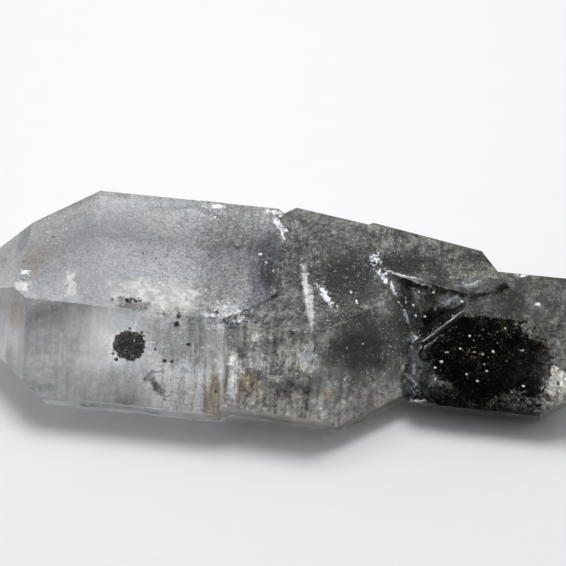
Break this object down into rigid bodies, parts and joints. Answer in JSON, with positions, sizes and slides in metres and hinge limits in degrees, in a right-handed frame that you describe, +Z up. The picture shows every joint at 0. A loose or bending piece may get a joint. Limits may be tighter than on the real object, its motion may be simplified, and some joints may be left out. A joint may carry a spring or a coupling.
{
  "type": "doubly terminated quartz crystal cluster with stibnite inclusions",
  "caption": "Cluster of doubly terminated smoky quartz crystals grown through each other, lying flat, with dark stibnite sealed inside.",
  "frame": {"origin": "middle of the underside of the cluster's box, on the resting face", "axes": "+X along the crystals' long axis towards the small dark crystal, +Z up from the resting face"},
  "size_m": [0.0588, 0.0202, 0.0109],
  "materials": {
    "quartz": "clear to smoky natural quartz, glossy faces with fine cross striations",
    "stibnite": "dark grainy stibnite with small metallic facets"
  },
  "bodies": {
    "root": {"quartz_upper": "quartz", "quartz_lower": "quartz", "stibnite_mass": "stibnite", "stibnite_spot": "stibnite"}
  },
  "joints": []
}
